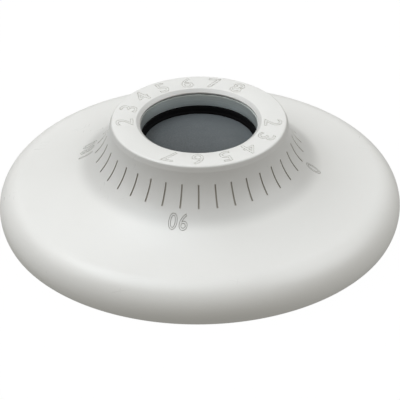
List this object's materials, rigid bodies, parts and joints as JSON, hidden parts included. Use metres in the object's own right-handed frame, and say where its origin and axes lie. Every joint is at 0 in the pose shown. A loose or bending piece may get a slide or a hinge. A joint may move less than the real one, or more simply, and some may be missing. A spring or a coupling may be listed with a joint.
{
  "type": "flush ceiling sprinkler head",
  "caption": "Flush ceiling sprinkler head: white domed escutcheon with a degree scale around a metal-lined bore that holds a recessed dark heat plate.",
  "frame": {"origin": "centre of the ceiling plane that the rim rests on", "axes": "+Z along the head's axis, from the ceiling towards the room; +X through the scale's 0 mark"},
  "size_m": [0.1, 0.1, 0.0264],
  "materials": {
    "white_moulding": "satin white moulded plastic",
    "satin_liner": "turned grey metal, half polished",
    "black_rubber": "black moulded rubber",
    "heat_plate_metal": "dark blue-grey satin plate",
    "brass": "turned brass",
    "bronze": "formed bronze",
    "spring_steel": "bright spring steel",
    "zinc_plated": "zinc-plated steel",
    "grey_nylon": "grey nylon",
    "solder": "dull fusible alloy",
    "foam": "closed-cell foam",
    "insulator": "red-brown fibre sheet"
  },
  "bodies": {
    "escutcheon": {"escutcheon_shell": "white_moulding", "retainer_plate": "zinc_plated", "retainer_screw_1": "zinc_plated", "retainer_screw_2": "zinc_plated", "retainer_screw_3": "zinc_plated", "retainer_screw_4": "zinc_plated", "ceiling_gasket": "foam", "wave_washer": "spring_steel", "pawl_pin_1": "spring_steel", "pawl_pin_2": "spring_steel", "pawl_spring_1": "spring_steel", "pawl_spring_2": "spring_steel"},
    "core": {"liner_sleeve": "satin_liner", "seal_ring": "black_rubber", "ratchet_ring": "grey_nylon", "snap_ring": "spring_steel", "frame_cup": "bronze", "inlet_body": "brass", "bridge": "bronze", "compression_screw": "brass", "solder_sleeve": "solder"},
    "pawl_a": {"pawl_1": "brass"},
    "pawl_b": {"pawl_2": "brass"},
    "deflector_set": {"deflector": "bronze", "guide_rod_1": "spring_steel", "guide_rod_2": "spring_steel", "guide_rod_3": "spring_steel"},
    "trigger": {"heat_plate": "heat_plate_metal", "insulating_washer": "insulator", "plunger_stem": "brass"},
    "valve": {"valve_cap": "bronze", "valve_disc_spring": "spring_steel", "valve_strut": "bronze"}
  },
  "joints": [
    {"name": "dial_turn", "type": "hinge", "parent": "escutcheon", "child": "core", "pos_m": [0, 0, 0.0121], "axis": [0, 0, 1], "range_deg": [0, 180]},
    {"name": "pawl_1_lift", "type": "hinge", "parent": "escutcheon", "child": "pawl_a", "pos_m": [0.02179, 0.0088, 0.0101], "axis": [0, 0, 1], "range_deg": [0, 8], "stiffness_Nm_per_rad": 0.05, "springref_deg": -11.46},
    {"name": "pawl_2_lift", "type": "hinge", "parent": "escutcheon", "child": "pawl_b", "pos_m": [-0.02179, -0.0088, 0.0101], "axis": [0, 0, 1], "range_deg": [0, 8], "stiffness_Nm_per_rad": 0.05, "springref_deg": -11.46},
    {"name": "deflector_drop", "type": "slide", "parent": "core", "child": "deflector_set", "axis": [0, 0, 1], "range_m": [0, 0.0109]},
    {"name": "trigger_eject", "type": "slide", "parent": "core", "child": "trigger", "axis": [0, 0, 1], "range_m": [0, 0.024]},
    {"name": "valve_lift", "type": "slide", "parent": "core", "child": "valve", "axis": [0, 0, 1], "range_m": [0, 0.0029]}
  ],
  "couplings": [
    {"joint": "trigger_eject", "follows": "deflector_drop", "ratio": 2.2},
    {"joint": "valve_lift", "follows": "deflector_drop", "ratio": 0.266}
  ]
}
